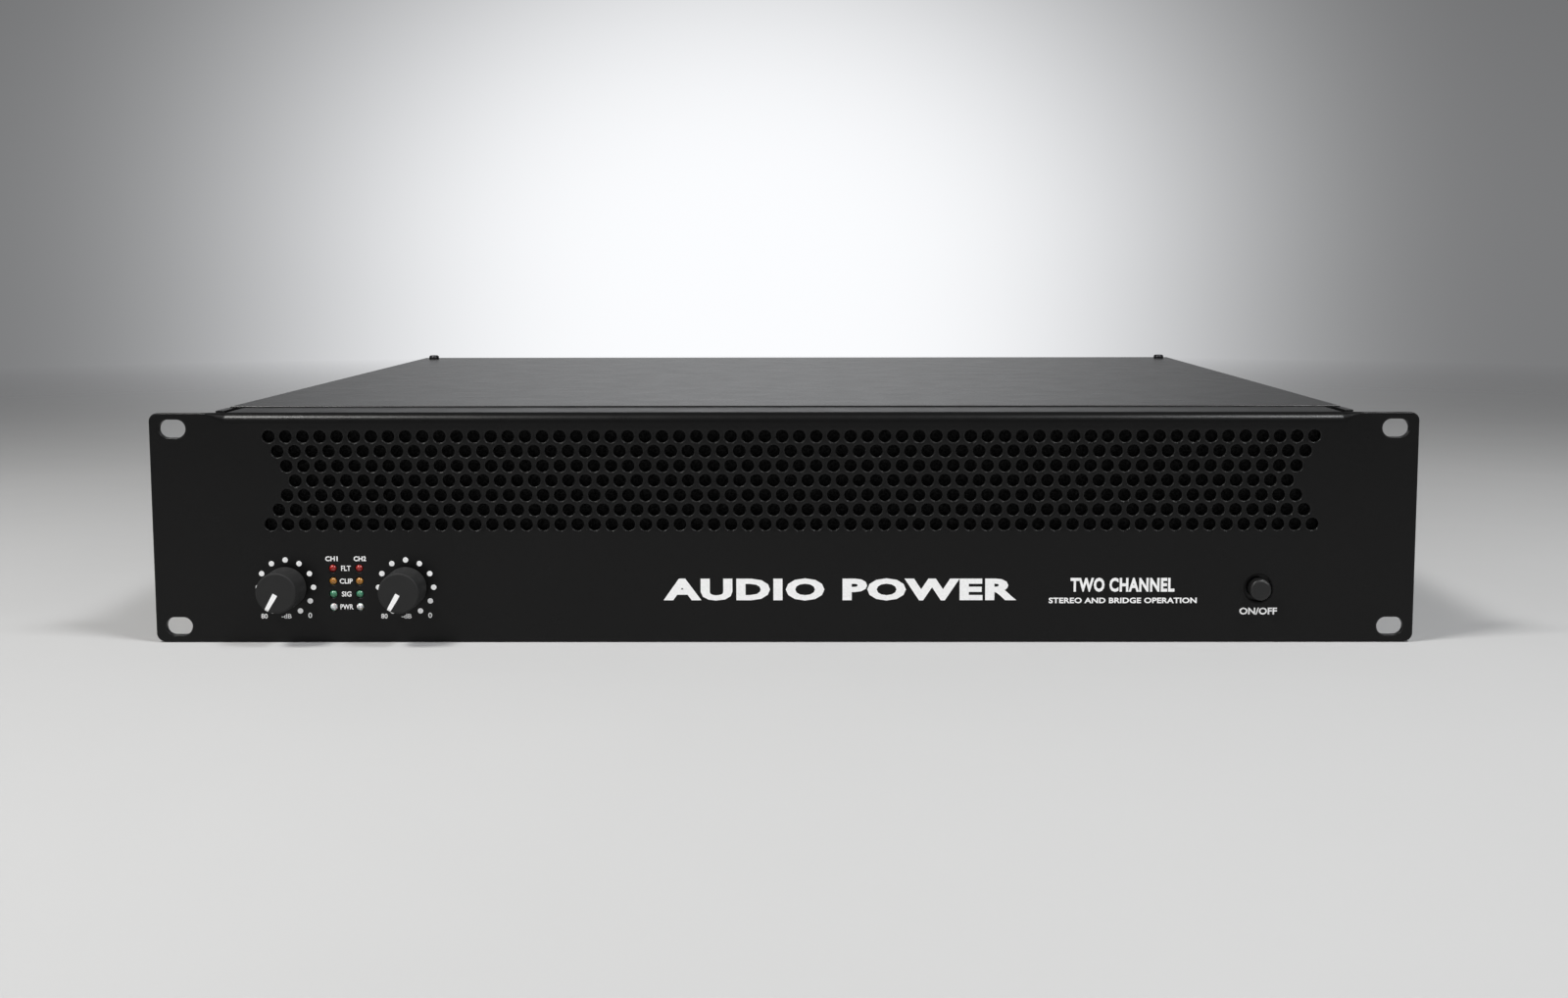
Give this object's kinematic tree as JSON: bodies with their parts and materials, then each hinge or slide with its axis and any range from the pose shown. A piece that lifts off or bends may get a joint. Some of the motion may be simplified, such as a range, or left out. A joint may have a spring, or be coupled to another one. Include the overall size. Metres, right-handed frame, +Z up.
{
  "type": "power amplifier",
  "caption": "Rack-mounted two-channel audio power amplifier: perforated black front panel with level knobs, status lamps and power button, folded steel case, rear fans and sockets.",
  "frame": {"origin": "centre of the four rack slots, on the front face of the front panel", "axes": "+X to the right as seen from the front, +Y from the front panel towards the rear, +Z up"},
  "size_m": [0.4826, 0.4215, 0.0905],
  "materials": {
    "panel_black": "fine satin black powder coat",
    "case_black": "smooth satin black powder coat",
    "rear_black": "fine-textured black powder coat",
    "screw_black": "black oxide",
    "zinc": "zinc plated",
    "bright_metal": "nickel plated",
    "filter_foam": "open-cell black foam",
    "knob_plastic": "fine matte moulding",
    "button_plastic": "satin moulding",
    "black_plastic": "moulded",
    "component_black": "moulded epoxy",
    "socket_plastic": "moulded nylon",
    "socket_metal": "black plated die casting",
    "led_red": "tinted lens, unlit",
    "led_amber": "tinted lens, unlit",
    "led_green": "tinted lens, unlit",
    "led_clear": "milky lens, unlit",
    "circuit_board": "green solder mask",
    "core_steel": "wound electrical steel",
    "copper_winding": "enamelled copper under clear tape",
    "rubber": "neoprene",
    "capacitor_sleeve": "shrink sleeve",
    "aluminium": "extruded",
    "fan_plastic": "glass-filled moulding",
    "guard_wire": "bright plated wire",
    "breaker_cap": "red moulding",
    "cable_jacket": "PVC jacket"
  },
  "bodies": {
    "chassis": {"front_panel": "panel_black", "chassis_tray": "case_black", "top_cover": "case_black", "rear_panel": "rear_black", "dust_filter": "filter_foam", "cover_screws": "screw_black", "rear_panel_screws": "screw_black", "connector_screws": "screw_black", "fan_screws": "screw_black", "panel_nuts": "zinc", "floor_screws": "screw_black", "level_pots": "zinc", "pot_nuts": "zinc", "leds_red": "led_red", "leds_amber": "led_amber", "leds_green": "led_green", "leds_white": "led_clear", "level_board": "circuit_board", "power_switch": "black_plastic", "switch_spring": "bright_metal", "transformer_core": "core_steel", "transformer_winding": "copper_winding", "transformer_pads": "rubber", "transformer_plate": "zinc", "transformer_bolt": "zinc", "power_board": "circuit_board", "filter_capacitors": "capacitor_sleeve", "bridge_rectifiers": "component_black", "heatsink_1": "aluminium", "heatsink_2": "aluminium", "output_transistors": "component_black", "amp_boards": "circuit_board", "fan_frame_1": "fan_plastic", "fan_frame_2": "fan_plastic", "fan_guards": "guard_wire", "mains_inlet": "black_plastic", "inlet_pins": "bright_metal", "circuit_breaker": "black_plastic", "speaker_socket_1": "socket_plastic", "speaker_socket_2": "socket_plastic", "speaker_cores": "black_plastic", "input_socket_1": "socket_metal", "input_socket_2": "socket_metal", "input_inserts": "black_plastic", "link_jacks": "black_plastic", "mode_switch": "zinc", "input_board": "circuit_board", "wiring_harness": "cable_jacket"},
    "level_control_1": {"level_knob_1": "knob_plastic", "level_shaft_1": "bright_metal"},
    "level_control_2": {"level_knob_2": "knob_plastic", "level_shaft_2": "bright_metal"},
    "power_button_set": {"power_button": "button_plastic"},
    "fan_wheel_1": {"fan_rotor_1": "fan_plastic"},
    "fan_wheel_2": {"fan_rotor_2": "fan_plastic"},
    "breaker_reset": {"breaker_button": "breaker_cap"},
    "input_release_1": {"input_latch_1": "bright_metal"},
    "input_release_2": {"input_latch_2": "bright_metal"},
    "mode_selector": {"mode_slider": "black_plastic"}
  },
  "joints": [
    {"name": "level_1_turn", "type": "hinge", "parent": "chassis", "child": "level_control_1", "pos_m": [-0.191, 0, -0.023], "axis": [0, 1, 0], "range_deg": [0, 300]},
    {"name": "level_2_turn", "type": "hinge", "parent": "chassis", "child": "level_control_2", "pos_m": [-0.1448, 0, -0.023], "axis": [0, 1, 0], "range_deg": [0, 300]},
    {"name": "power_press", "type": "slide", "parent": "chassis", "child": "power_button_set", "axis": [0, 1, 0], "range_m": [0, 0.003], "stiffness_N_per_m": 800, "deforming": ["switch_spring"]},
    {"name": "fan_1_spin", "type": "hinge", "parent": "chassis", "child": "fan_wheel_1", "pos_m": [-0.158, 0.385, 0], "axis": [0, 1, 0], "continuous": true},
    {"name": "fan_2_spin", "type": "hinge", "parent": "chassis", "child": "fan_wheel_2", "pos_m": [0.158, 0.385, 0], "axis": [0, 1, 0], "continuous": true},
    {"name": "breaker_pop", "type": "slide", "parent": "chassis", "child": "breaker_reset", "axis": [0, 1, 0], "range_m": [0, 0.0035]},
    {"name": "input_1_release", "type": "slide", "parent": "chassis", "child": "input_release_1", "axis": [0, 0, -1], "range_m": [0, 0.0012], "stiffness_N_per_m": 1000},
    {"name": "input_2_release", "type": "slide", "parent": "chassis", "child": "input_release_2", "axis": [0, 0, -1], "range_m": [0, 0.0012], "stiffness_N_per_m": 1000},
    {"name": "mode_slide", "type": "slide", "parent": "chassis", "child": "mode_selector", "axis": [1, 0, 0], "range_m": [0, 0.005]}
  ]
}
